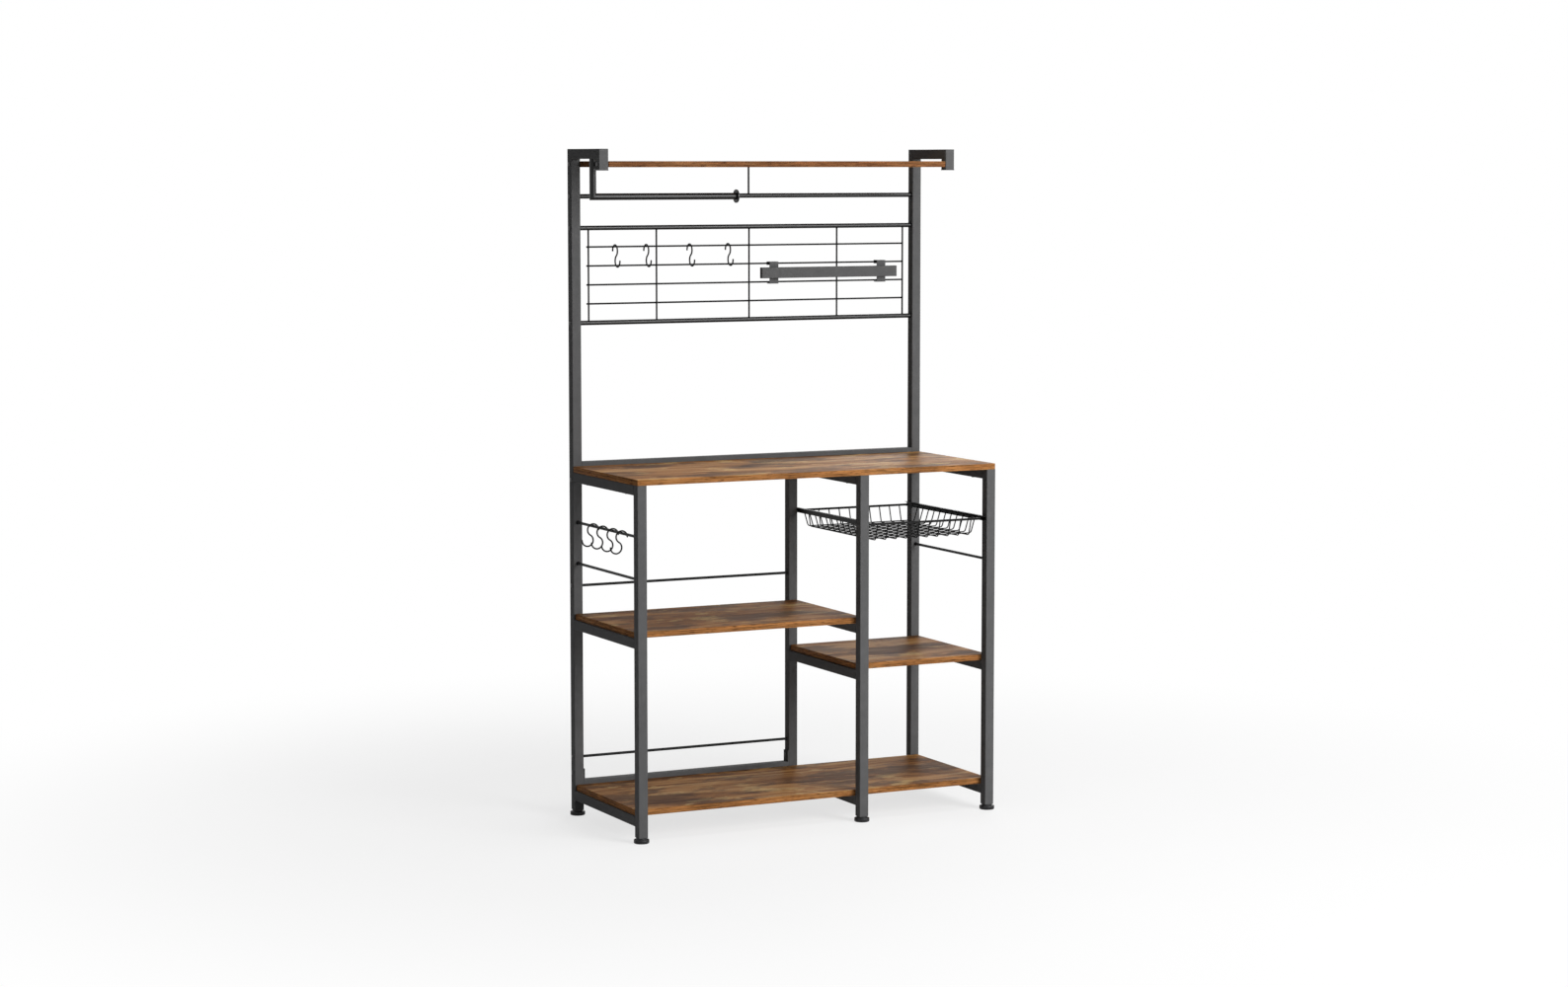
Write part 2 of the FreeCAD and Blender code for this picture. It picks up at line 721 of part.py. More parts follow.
long_rows = row(rim_left, rim_right, LONG_WIRE_COUNT)
cross_rows = row(rim_front, rim_rear, CROSS_WIRE_COUNT)
x_axis, y_axis = Vector(1, 0, 0), Vector(0, 1, 0)
wall_wires = [wall_wire(x, rim_front + wall_offset, low_floor, x_axis, 1) for x in long_rows]
wall_wires += [wall_wire(x, rim_rear - wall_offset, low_floor, x_axis, -1) for x in long_rows]
wall_wires += [wall_wire(rim_left + wall_offset, y, high_floor, y_axis, -1) for y in cross_rows]
wall_wires += [wall_wire(rim_right - wall_offset, y, high_floor, y_axis, 1) for y in cross_rows]
node(group(wall_wires), "basket_wall_wires")
floor_inset = wall_offset + s.basket_lean - wire_half
floor_ends = rim_front + floor_inset, rim_rear - floor_inset
floor_sides = rim_left + floor_inset, rim_right - floor_inset
floor_wires = [bar_along_y(s.basket_wire, *floor_ends, x, low_floor) for x in long_rows]
floor_wires += [bar_along_x(s.basket_wire, *floor_sides, y, high_floor) for y in cross_rows]
node(group(floor_wires), "basket_floor_wires")

# S-hooks: two equal arcs that meet where their circles touch
hook_half = s.hook_wire / 2
arc_sweep = s.hook_turn_angle + HALF_TURN
hook_aside = s.hook_radius * cosine(s.hook_turn_angle) * 2
hook_below = s.hook_radius * sine(s.hook_turn_angle) * 2


def hook(carrier, lean, at, turn, axis):
    """An S-hook hung over a round carrier, turned about the carrier by its lean."""
    hang = s.hook_radius - hook_half - carrier / 2 - s.moving_gap
    arcs = []
    for x, y, start in (
        (0, -hang, -s.hook_turn_angle),
        (hook_aside, -hang - hook_below, -s.hook_turn_angle + HALF_TURN),
    ):
        arc = doc.addObject("Part::Torus", "hook_arc")
        bind(arc, Radius1=s.hook_radius, Radius2=hook_half, Angle3=arc_sweep)
        seat(arc, (x, y, 0), Rotation(Vector(0, 0, 1), HALF_TURN))
        bind(arc, **{"Placement.Rotation.Angle": start})
        arcs.append(arc)
    upright_hook = seat(joined(arcs), (0, 0, 0), turn)
    leaning = group([upright_hook])
    seat(leaning, at, Rotation(axis, HALF_TURN))
    bind(leaning, **{"Placement.Rotation.Angle": lean})
    return leaning


# A panel hook leans out until its lower arc clears the next wire below
panel_hang = s.hook_radius - hook_half - s.panel_wire / 2 - s.moving_gap
arc_depth = panel_hang + hook_below
arc_reach = root(hook_aside * hook_aside + arc_depth * arc_depth)
arc_clear = s.hook_radius + hook_half + s.panel_wire / 2 + s.moving_gap
square_sum = arc_reach * arc_reach + panel_pitch * panel_pitch - arc_clear * arc_clear
panel_lean = arc_cosine(square_sum / (arc_reach * panel_pitch * 2)) - arc_tangent(hook_aside / arc_depth)
hook_wire_z = level_heights[3]
panel_turn = Rotation(Vector(0, -1, 0), Vector(0, 0, 1), Vector(-1, 0, 0), "XYZ")
panel_places = [left * share for share in PANEL_HOOK_SHARES]
out_front = Vector(-1, 0, 0)
for i, x in enumerate(panel_places, start=1):
    hung_at = (x, level_y, hook_wire_z)
    node(hook(s.panel_wire, panel_lean, hung_at, panel_turn, out_front), f"panel_hook_{i}")

side_turn = Rotation(Vector(-1, 0, 0), Vector(0, 0, 1), Vector(0, 1, 0), "XYZ")
side_places = [s.side_hook_first, s.side_hook_second, -s.side_hook_third, -s.side_hook_fourth]
out_left = Vector(0, 1, 0)
for i, y in enumerate(side_places, start=1):
    hung_at = (left_line, y, hook_rod_height)
    node(hook(s.rod_diameter, Size.of(0), hung_at, side_turn, out_left), f"side_hook_{i}")

# Levelling feet and the plugs that they turn in
neck_top = s.foot_height - s.moving_gap
disc_half = s.foot_disc_diameter / 2
neck_half = s.foot_neck_diameter / 2
stud_half = s.stud_diameter / 2
foot_profile = [
    (0, 0),
    (disc_half, 0),
    (disc_half, s.foot_disc_thickness - s.foot_disc_round),
    (disc_half - s.foot_disc_round, s.foot_disc_thickness),
    (neck_half, s.foot_disc_thickness),
    (neck_half, neck_top),
    (stud_half, neck_top),
    (stud_half, s.foot_height + s.stud_reach),
    (0, s.foot_height + s.stud_reach),
]
post_lines = {
    "rear_left": (left_line, rear_line),
    "rear_middle": (middle_line, rear_line),
    "rear_right": (right_line, rear_line),
    "front_left": (left_line, front_line),
    "front_middle": (middle_line, front_line),
    "front_right": (right_line, front_line),
}
plugs = []
for name, (x, y) in post_lines.items():
    foot = doc.addObject("PartDesign::Body", "foot")
    profile = sketch_on(foot, "XZ_Plane")
    outline(profile, foot_profile)
    turned = foot.newObject("PartDesign::Revolution", "turned")
    turned.Profile = profile
    turned.ReferenceAxis = (profile, ["V_Axis"])
    turned.Angle = HALF_TURN * 2
    node(seat(foot, (x, y, 0)), f"{name}_foot")
    plug_at = (x - stem_width / 2, y - stem_width / 2, s.foot_height)
    plug = box((stem_width, stem_width, s.plug_length), plug_at)
    bore = cylinder(s.stud_diameter + s.stud_gap * 2, s.plug_length, (x, y, s.foot_height))
    plugs.append(cut(plug, bore))
node(group(plugs), "foot_plugs")

doc.recompute()
failed = [item.Label for item in doc.Objects if {"Invalid", "Error"} & set(item.State)]
failed += [item.Label for item in nodes if item.Shape.isNull() or not item.Shape.isValid()]
if failed:
    raise RuntimeError(f"these pieces failed: {failed}")

os.makedirs("parts", exist_ok=True)
for item in nodes:
    item.Shape.exportStep(f"parts/{item.Label}.step")
    print(item.Label, len(item.Shape.Solids), round(item.Shape.Volume))
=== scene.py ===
"""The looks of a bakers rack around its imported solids: X to the right, -Y to the front, Z up."""

import json
import math

import bpy
import numpy as np
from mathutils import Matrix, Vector


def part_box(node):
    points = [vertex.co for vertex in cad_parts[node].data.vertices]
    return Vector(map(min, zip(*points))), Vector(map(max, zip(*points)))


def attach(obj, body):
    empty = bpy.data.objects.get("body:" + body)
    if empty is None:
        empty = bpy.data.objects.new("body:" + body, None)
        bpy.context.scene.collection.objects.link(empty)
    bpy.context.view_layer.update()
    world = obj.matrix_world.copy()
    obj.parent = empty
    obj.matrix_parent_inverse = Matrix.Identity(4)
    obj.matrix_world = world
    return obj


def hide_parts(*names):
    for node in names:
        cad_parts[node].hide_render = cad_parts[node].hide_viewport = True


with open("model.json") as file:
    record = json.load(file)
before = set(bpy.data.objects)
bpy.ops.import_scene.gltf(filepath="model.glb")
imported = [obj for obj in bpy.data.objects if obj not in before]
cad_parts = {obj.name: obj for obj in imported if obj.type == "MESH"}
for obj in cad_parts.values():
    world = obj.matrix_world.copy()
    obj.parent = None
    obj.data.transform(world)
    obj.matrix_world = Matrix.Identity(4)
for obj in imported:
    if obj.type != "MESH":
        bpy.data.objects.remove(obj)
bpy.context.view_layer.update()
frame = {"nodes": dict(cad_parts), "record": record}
MM = 0.001
UP = (0.0, 0.0, 1.0)


# Node trees


def maths(operation, *terms):
    """A Math node on signals and plain numbers."""
    tree = next(term.tree for term in terms if isinstance(term, Signal))
    return tree.node("ShaderNodeMath", {"operation": operation}, dict(enumerate(terms)))


class Signal:
    """An output socket. Sums, differences and products of signals add Math nodes to their tree."""

    def __init__(self, tree, socket):
        self.tree = tree
        self.socket = socket

    def __add__(self, other):
        return maths("ADD", self, other)

    def __radd__(self, other):
        return maths("ADD", other, self)

    def __sub__(self, other):
        return maths("SUBTRACT", self, other)

    def __rsub__(self, other):
        return maths("SUBTRACT", other, self)

    def __mul__(self, other):
        return maths("MULTIPLY", self, other)

    def __rmul__(self, other):
        return maths("MULTIPLY", other, self)

    def __abs__(self):
        return maths("ABSOLUTE", self)

    def most(self, other):
        """The greater of two signals."""
        return maths("MAXIMUM", self, other)

    def rise(self, low, high):
        """0 up to low, 1 from high, and a smooth rise between them."""
        span = {"Value": self, "From Min": low, "From Max": high}
        return self.tree.node("ShaderNodeMapRange", {"interpolation_type": "SMOOTHSTEP"}, span)


# Places of a Mix node's factor, its two colours and the colour that it gives
MIX_SHARE, MIX_FIRST, MIX_SECOND, MIX_RESULT = 0, 6, 7, 2


class Tree:
    """A node tree that is filled by one method."""

    def __init__(self, owner):
        owner.use_nodes = True
        self.owner = owner
        self.tree = owner.node_tree
        self.tree.nodes.clear()

    def node(self, kind, settings=None, sockets=None, out=0):
        """Adds a node, sets its settings, then its sockets to values or links, and gives one output."""
        item = self.tree.nodes.new(kind)
        for name, value in (settings or {}).items():
            if name == "stops":
                stops = item.color_ramp.elements
                while len(stops) < len(value):
                    stops.new(1.0)
                for stop, (place, colour) in zip(stops, value):
                    stop.position = place
                    stop.color = (*colour, 1.0)
            else:
                setattr(item, name, value)
        for name, value in (sockets or {}).items():
            if isinstance(value, Signal):
                self.tree.links.new(value.socket, item.inputs[name])
            else:
                item.inputs[name].default_value = value
        return Signal(self, item.outputs[out]) if item.outputs else None

    def spot(self):
        """The point's place on the rack, in metres."""
        return self.node("ShaderNodeTexCoord", out="Object")

    def facing(self, axis):
        """One part of the surface's outward direction: X, Y or Z."""
        normal = self.node("ShaderNodeNewGeometry", out="Normal")
        return self.node("ShaderNodeSeparateXYZ", {}, {"Vector": normal}, axis)

    def stretched(self, place, scale):
        """A place whose X, Y and Z are each multiplied."""
        return self.node("ShaderNodeVectorMath", {"operation": "MULTIPLY"}, {0: place, 1: scale})

    def noise(self, place, scale, detail, rough=0.5):
        """Noise whose scale, in waves to the metre, is one number or one each for X, Y and Z."""
        if isinstance(scale, tuple):
            place = self.stretched(place, scale)
            scale = 1.0
        sockets = {"Vector": place, "Scale": scale, "Detail": detail, "Roughness": rough}
        return self.node("ShaderNodeTexNoise", {}, sockets)

    def mix(self, share, first, second):
        """The first colour at a share of 0, the second at 1. A colour is a signal or three numbers."""
        first, second = [end if isinstance(end, Signal) else (*end, 1.0) for end in (first, second)]
        sockets = {MIX_SHARE: share, MIX_FIRST: first, MIX_SECOND: second}
        return self.node("ShaderNodeMix", {"data_type": "RGBA"}, sockets, MIX_RESULT)

    def bump(self, height, strength, distance):
        """A direction for the Normal socket, from a height and its distance in metres."""
        sockets = {"Height": height, "Strength": strength, "Distance": distance}
        return self.node("ShaderNodeBump", {}, sockets)

    def surface(self, sockets):
        """Ends the tree in a Principled shader and gives the finished material."""
        shader = self.node("ShaderNodeBsdfPrincipled", {}, sockets)
        self.node("ShaderNodeOutputMaterial", {}, {"Surface": shader})
        return self.owner


def new_finish(name):
    """The empty tree of a new material."""
    return Tree(bpy.data.materials.new(name))


# Finishes


def powder_coat(name, dark, light, rough, gloss, depth):
    """Baked powder on steel: slow mottling, an orange-peel skin about 1.5 mm across, a fine grit, and
    a little dust on faces that look up."""
    look = new_finish(name)
    spot = look.spot()
    mottle = look.noise(spot, 34.0, 4.0, 0.6)
    peel = look.noise(spot, 620.0, 2.0)
    grit = look.noise(spot, 2600.0, 1.0)
    dust = look.facing("Z").rise(0.5, 0.95) * look.noise(spot, 11.0, 5.0, 0.65)
    tone = mottle * 0.55 + grit * 0.3 + dust * 0.35
    return look.surface({
        "Base Color": look.mix(tone.rise(0.2, 0.95), dark, light),
        "Roughness": rough - 0.08 + mottle * 0.1 + grit * 0.08,
        "Specular IOR Level": gloss,
        "Normal": look.bump(peel + grit * 0.4, depth, 0.0004),
    })


WOOD_TONES = [
    (0.08, (0.085, 0.031, 0.009)),
    (0.30, (0.172, 0.070, 0.020)),
    (0.50, (0.275, 0.121, 0.036)),
    (0.70, (0.370, 0.188, 0.064)),
    (0.92, (0.490, 0.300, 0.125)),
]
WORN_YELLOW = (0.540, 0.370, 0.155)
STAIN_BROWN = (0.040, 0.016, 0.007)
CHECK_BROWN = (0.022, 0.010, 0.005)
SAW_BROWN = (0.080, 0.034, 0.013)
KNOT_BROWN = (0.018, 0.008, 0.004)
EDGE_BROWN = (0.040, 0.015, 0.007)
EDGE_DEEP, EDGE_PALE = 0.45, 1.3


def rustic_wood(name, edge_tint):
    """Printed rustic wood. Streaks along X sway and part round knots; soft dark stains, worn yellow
    patches, fine dark checks and faint saw marks lie over them. The edges carry a strip of one tint
    with dark streaks."""
    look = new_finish(name)
    spot = look.spot()
    sway = look.noise(spot, (2.1, 5.2, 5.2), 3.0)
    cells = {"Vector": look.stretched(spot, (3.1, 8.2, 8.2)), "Scale": 1.0}
    knot_gap = look.node("ShaderNodeTexVoronoi", {}, cells, "Distance")
    knot_tint = look.node("ShaderNodeTexVoronoi", {}, cells, "Color")
    kept = look.node("ShaderNodeSeparateColor", {}, {"Color": knot_tint}, "Red").rise(0.52, 0.56)
    swell = (1 - knot_gap.rise(0.0, 0.45)) * kept
    shift = look.node("ShaderNodeCombineXYZ", {}, {"Y": (sway - 0.5) * 0.11 + swell * 0.03})
    grain = look.node("ShaderNodeVectorMath", {"operation": "ADD"}, {0: spot, 1: shift})
    bands = look.noise(grain, (2.2, 24.0, 24.0), 4.0, 0.6).rise(0.34, 0.66)
    streaks = look.noise(grain, (7.0, 130.0, 130.0), 4.0, 0.65).rise(0.32, 0.68)
    fibre = look.noise(grain, (30.0, 700.0, 700.0), 2.0, 0.6).rise(0.3, 0.7)
    stain = look.noise(grain, (4.5, 10.0, 31.0), 8.0, 0.65)
    worn = look.noise(spot, (6.5, 12.0, 23.0), 8.0, 0.68)
    saw = look.noise(spot, (280.0, 8.0, 8.0), 2.0)

    tone = bands * 0.46 + streaks * 0.32 + fibre * 0.22
    patch = worn.rise(0.54, 0.62) * (0.4 + streaks * 0.45)
    dark = stain.rise(0.475, 0.57) * (0.88 - streaks * 0.3)
    checks = streaks.rise(0.80, 0.98) * stain.rise(0.36, 0.48)
    saw_marks = saw.rise(0.58, 0.7) * worn.rise(0.44, 0.58)
    core = (1 - knot_gap.rise(0.03, 0.17)) * kept
    colour = look.node("ShaderNodeValToRGB", {"stops": WOOD_TONES}, {"Fac": tone})
    colour = look.mix(patch, colour, WORN_YELLOW)
    colour = look.mix(dark, colour, STAIN_BROWN)
    colour = look.mix(checks * 0.8, colour, CHECK_BROWN)
    colour = look.mix(saw_marks * 0.35, colour, SAW_BROWN)
    colour = look.mix(core * 0.9, colour, KNOT_BROWN)

    edge = 1 - abs(look.facing("Z")).rise(0.4, 0.8)
    line = look.noise(spot, (9.0, 9.0, 380.0), 5.0, 0.65).rise(0.34, 0.66)
    deep, pale = [[share * part for part in edge_tint] for share in (EDGE_DEEP, EDGE_PALE)]
    colour = look.mix(edge * 0.85, colour, look.mix(line, deep, pale))
    edge_streaks = look.noise(spot, (42.0, 42.0, 480.0), 4.0, 0.6).rise(0.52, 0.66)
    colour = look.mix(edge * edge_streaks * 0.85, colour, EDGE_BROWN)
    return look.surface({
        "Base Color": colour,
        "Roughness": 0.36 + (1 - tone) * 0.14 + fibre * 0.1,
        "Specular IOR Level": 0.012,
        "Normal": look.bump(fibre * 0.6 + streaks * 0.5, 0.12, 0.0005),
    })


def moulded_plastic(name):
    """Black moulded plastic with a fine spark-eroded grain and scuffs that roughen it."""
    look = new_finish(name)
    spot = look.spot()
    grain = look.noise(spot, 1500.0, 2.0, 0.6)
    scuff = look.noise(spot, (60.0, 60.0, 240.0), 3.0, 0.6)
    return look.surface({
        "Base Color": look.mix(scuff.rise(0.35, 0.8), (0.011, 0.011, 0.012), (0.026, 0.026, 0.027)),
        "Roughness": 0.24 + scuff * 0.2 + grain * 0.08,
        "Specular IOR Level": 0.2,
        "Normal": look.bump(grain, 0.22, 0.0003),
    })


def black_zinc(name):
    """Black zinc on a bolt: dark metal with slow staining and fine turning marks."""
    look = new_finish(name)
    spot = look.spot()
    stain = look.noise(spot, 240.0, 3.0, 0.6)
    marks = look.noise(spot, (900.0, 2400.0, 2400.0), 2.0)
    return look.surface({
        "Base Color": look.mix(stain, (0.035, 0.035, 0.037), (0.085, 0.084, 0.083)),
        "Metallic": 0.75,
        "Roughness": 0.30 + stain * 0.16 + marks * 0.08,
        "Normal": look.bump(marks, 0.12, 0.0002),
    })


def sintered_ferrite(name):
    """A magnet's grey sintered face, with pits and a pressed grain."""
    look = new_finish(name)
    spot = look.spot()
    pits = look.noise(spot, 1100.0, 3.0, 0.65)
    cloud = look.noise(spot, 70.0, 3.0)
    return look.surface({
        "Base Color": look.mix(pits * 0.6 + cloud * 0.4, (0.06, 0.06, 0.062), (0.17, 0.17, 0.172)),
        "Roughness": 0.55 + pits * 0.25,
        "Normal": look.bump(pits, 0.3, 0.0004),
    })


tube_coat = powder_coat(
    "tube_powder_coat",
    dark=(0.076, 0.076, 0.077),
    light=(0.108, 0.108, 0.109),
    rough=0.55,
    gloss=0.025,
    depth=0.14,
)
bar_coat = powder_coat(
    "bar_powder_coat",
    dark=(0.004, 0.004, 0.0042),
    light=(0.009, 0.009, 0.0092),
    rough=0.29,
    gloss=0.26,
    depth=0.004,
)
wire_coat = powder_coat(
    "wire_powder_coat",
    dark=(0.006, 0.006, 0.0062),
    light=(0.012, 0.012, 0.0122),
    rough=0.38,
    gloss=0.07,
    depth=0.012,
)
wood = rustic_wood("rustic_wood", edge_tint=(0.300, 0.128, 0.042))
shelf_wood = rustic_wood("rustic_wood_dark_edge", edge_tint=(0.165, 0.066, 0.027))
plastic = moulded_plastic("black_moulded_plastic")
zinc = black_zinc("black_zinc")
ferrite = sintered_ferrite("sintered_ferrite")


# Surfaces, in millimetres until they become a mesh
BEND_STEPS = 8
DOME = np.radians([25.0, 50.0, 75.0])
SHARP_FROM = math.radians(38)


def ring_angles(count):
    """Even angles round a full turn, without its end."""
    return np.arange(count) * (2 * math.pi / count)


def bent(corners, radius, looped=False):
    """A path of straight runs joined by arcs. An arc leaves its run a tangent length before the corner
    and turns towards the next run about a middle that is one radius from both."""
    corners = np.asarray(corners, float)
    before = corners - np.roll(corners, 1, 0)
    after = np.roll(corners, -1, 0) - corners
    bends = slice(None) if looped else slice(1, -1)
    at, before, after = corners[bends], before[bends], after[bends]
    before = before / np.linalg.norm(before, axis=1, keepdims=True)
    after = after / np.linalg.norm(after, axis=1, keepdims=True)
    turn = np.arccos((before * after).sum(1))[:, None]
    inward = (after - before * np.cos(turn)) / np.sin(turn)
    start = at - before * radius * np.tan(turn / 2)
    angle = (turn * np.linspace(0, 1, BEND_STEPS))[..., None]
    along = np.sin(angle) * before[:, None]
    aside = (1 - np.cos(angle)) * inward[:, None]
    arcs = (start[:, None] + radius * (along + aside)).reshape(-1, 3)
    return arcs if looped else np.concatenate([corners[:1], arcs, corners[-1:]])


def wire(path, normal, diameter, around, looped=False):
    """A round wire along a flat path. Each ring is square to the path: half the diameter times the
    cosine of its angle to the path's side, and times the sine along the plane's normal. An open wire's
    ends are domed by rings that move out as a sine while they narrow as a cosine."""
    normal = np.asarray(normal, float)
    ahead = np.roll(path, -1, 0) - np.roll(path, 1, 0) if looped else np.gradient(path, axis=0)
    ahead = ahead / np.linalg.norm(ahead, axis=1, keepdims=True)
    half = diameter / 2
    radius = np.full(len(path), half)
    if not looped:
        reach = half * np.sin(DOME)
        narrow = half * np.cos(DOME)
        first, last = [end.repeat(len(DOME), 0) for end in (ahead[:1], ahead[-1:])]
        head = path[0] - first * reach[::-1, None]
        tail = path[-1] + last * reach[:, None]
        path = np.concatenate([head, path, tail])
        ahead = np.concatenate([first, ahead, last])
        radius = np.concatenate([narrow[::-1], radius, narrow])
    side = np.cross(normal, ahead)[:, None]
    turn = ring_angles(around)[:, None]
    ring = np.cos(turn) * side + np.sin(turn) * normal
    return path[:, None] + radius[:, None, None] * ring, looped


def turned(profile, around, flute=None):
    """A lathe form: each radius and height of the profile is carried round Z. A flute is a function of
    the angle and the radius that gives how much is taken away from the radius."""
    radius, height = np.asarray(profile, float).T[:, :, None]
    angle = ring_angles(around)
    radius = radius + np.zeros(around)
    if flute is not None:
        radius = radius - flute(angle, radius)
    return np.stack([radius * np.cos(angle), radius * np.sin(angle), height + np.zeros(around)], -1)


def cross_axes(ahead):
    """Two directions square to a level or an upright one, in the order that turns round it."""
    side = np.cross(ahead, UP) if ahead[2] == 0 else np.array([1.0, 0.0, 0.0])
    return side, np.cross(ahead, side)


def mesh_of(name, sweeps):
    """One mesh of several sweeps. A sweep is a grid of rings and whether it is looped; quads join
    neighbouring rings, and a fan to the mean of each end ring closes a sweep that isn't looped."""
    points, faces, base = [], [], 0
    for grid, looped in sweeps:
        rings, around = grid.shape[:2]
        here = np.arange(rings * around).reshape(rings, around) + base
        low, high = (here, np.roll(here, -1, 0)) if looped else (here[:-1], here[1:])
        quads = np.stack([low, np.roll(low, -1, 1), np.roll(high, -1, 1), high], -1)
        points.append(grid.reshape(-1, 3))
        faces += quads.reshape(-1, 4).tolist()
        base += rings * around
        if not looped:
            points.append(grid[[0, -1]].mean(1))
            first, last = here[0], here[-1]
            faces += np.stack([np.roll(first, -1), first, np.full(around, base)], -1).tolist()
            faces += np.stack([last, np.roll(last, -1), np.full(around, base + 1)], -1).tolist()
            base += 2
    mesh = bpy.data.meshes.new(name)
    mesh.from_pydata((np.concatenate(points) * MM).tolist(), [], faces)
    mesh.shade_smooth()
    mesh.set_sharp_from_angle(angle=SHARP_FROM)
    return mesh


def piece(name, sweeps, material, body, nodes=()):
    """Puts a mesh into the scene on a body, with its finish, in place of the solids it stands for."""
    mesh = mesh_of(name, sweeps)
    mesh.materials.append(material)
    item = bpy.data.objects.new(name, mesh)
    bpy.context.scene.collection.objects.link(item)
    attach(item, body)
    if nodes:
        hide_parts(*nodes)


# Places on the frame, in millimetres


def corners_of(node):
    """A node's lowest and highest corners at rest."""
    low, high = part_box(node)
    return np.array(low) / MM, np.array(high) / MM


def inner_corners(node, margin):
    """A node's lowest and highest corners, each moved in by a margin along X, Y and Z."""
    low, high = corners_of(node)
    return low + margin, high - margin


def inner_levels(node, margin):
    """The heights of a node's bottom and top, each moved in by a margin."""
    low, high = inner_corners(node, margin)
    return low[2], high[2]


def middle_of(node):
    """The middle of a node's box."""
    return sum(corners_of(node)) / 2


def height_of(node):
    """How tall a node's box is."""
    low, high = corners_of(node)
    return high[2] - low[2]


def between(low, high, count):
    """Even places between two limits that aren't places themselves."""
    return np.linspace(low, high, count + 2)[1:-1]


joint_places = {
    joint["name"]: np.array(joint["pos_m"]) / MM
    for joint in frame["record"]["behaviour"]["joints"]
    if "pos_m" in joint
}
left_line = middle_of("left_side_rails")[0]
middle_line = middle_of("middle_side_rails")[0]
right_line = middle_of("right_side_rails")[0]
rear_line = middle_of("rear_left_post")[1]
front_inside, rear_inside = [corner[1] for corner in corners_of("left_side_rails")]
tube = height_of("rear_desk_rail")
rod = height_of("left_hook_rod")
panel_rail = height_of("panel_top_rail")
panel_wire = rear_line - corners_of("panel_upright_wires")[0][1]

# Boards: slabs with eased edges
EASE = 0.9
EASE_RINGS = 4
BOARD_CORNER = 3.0
CORNER_POINTS = 5
FLAT_RIM = 2.7


def slab(low, high):
    """A rectangle with round corners carried from the lower face to the upper one. Near each face it
    draws in as one minus a sine while its height moves as one minus a cosine, and the first and last
    rings lie flat in the faces."""
    turn = np.linspace(0, math.pi / 2, EASE_RINGS)
    inset = np.concatenate([[FLAT_RIM], EASE * (1 - np.sin(turn))])
    lift = np.concatenate([[0.0], EASE * (1 - np.cos(turn))])
    height = np.concatenate([low[2] + lift, high[2] - lift[::-1]])[:, None]
    round_off = BOARD_CORNER - np.concatenate([inset, inset[::-1]])[:, None]
    quarter = np.linspace(0, math.pi / 2, CORNER_POINTS)
    angle = (quarter + np.arange(4)[:, None] * math.pi / 2).ravel()
    sides = np.repeat([(1, 1), (-1, 1), (-1, -1), (1, -1)], CORNER_POINTS, axis=0)
    centre = (low + high)[:2] / 2 + sides * ((high - low)[:2] / 2 - BOARD_CORNER)
    x = centre[:, 0] + round_off * np.cos(angle)
    y = centre[:, 1] + round_off * np.sin(angle)
    return np.stack([x, y, height + np.zeros_like(angle)], -1), False


for name in ("bottom_shelf", "left_shelf", "right_shelf", "desk_top", "top_shelf"):
    print_of_board = shelf_wood if name == "top_shelf" else wood
    piece(f"{name}_board", [slab(*corners_of(name))], print_of_board, "rack", [name])

# Basket: a rim loop and two layers of wires, each bent up at both ends to the rim
BASKET_WIRE = 3.0
WIRE_SIDES, RIM_SIDES = 12, 16
RIM_BEND, WIRE_BEND = 9.0, 8.0
WALL_LEAN = 12.0
WELD_BITE = 0.1
LONG_COUNT, CROSS_COUNT = 10, 12

rim_wire = height_of("basket_rim")
rim_low, rim_high = inner_corners("basket_rim", rim_wire / 2)
rim_level = rim_low[2]
low_layer, high_layer = inner_levels("basket_floor_wires", BASKET_WIRE / 2)
wall_offset = (rim_wire + BASKET_WIRE) / 2 - WELD_BITE

rim_corners = [
    (rim_low[0], rim_low[1], rim_level),
    (rim_high[0], rim_low[1], rim_level),
    (rim_high[0], rim_high[1], rim_level),
    (rim_low[0], rim_high[1], rim_level),
]
rim = wire(bent(rim_corners, RIM_BEND, looped=True), UP, rim_wire, RIM_SIDES, looped=True)
piece("basket_rim_loop", [rim], wire_coat, "basket", ["basket_rim"])


def basket_wire(axis, row, floor):
    """A wire along X (axis 0) or Y (axis 1) that leans in from the rim to the floor, runs across it
    and leans out again."""
    start, end = rim_low[axis] + wall_offset, rim_high[axis] - wall_offset
    top = rim_level + WELD_BITE
    corners = np.full((4, 3), row)
    corners[:, axis] = start, start + WALL_LEAN, end - WALL_LEAN, end
    corners[:, 2] = top, floor, floor, top
    normal = (axis, 1 - axis, 0)
    return wire(bent(corners, WIRE_BEND), normal, BASKET_WIRE, WIRE_SIDES)


long_rows = between(rim_low[0], rim_high[0], LONG_COUNT)
cross_rows = between(rim_low[1], rim_high[1], CROSS_COUNT)
long_wires = [basket_wire(1, x, low_layer) for x in long_rows]
cross_wires = [basket_wire(0, y, high_layer) for y in cross_rows]
piece("basket_long_wires", long_wires, wire_coat, "basket", ["basket_floor_wires"])
piece("basket_cross_wires", cross_wires, wire_coat, "basket", ["basket_wall_wires"])

# S-hooks: an arc over the carrier that runs on into an arc the other way
HOOK_COUNT = 4
HOOK_WIRE, HOOK_RADIUS, HOOK_GAP = 4.0, 15.0, 0.3
UPPER_ARC, LOWER_ARC = (180, -60), (120, 360)
HOOK_SIDES, ARC_POINTS = 14, 34

# A panel hook leans out until its lower arc clears the next wire below
PANEL_LEAN = math.radians(1.0885)


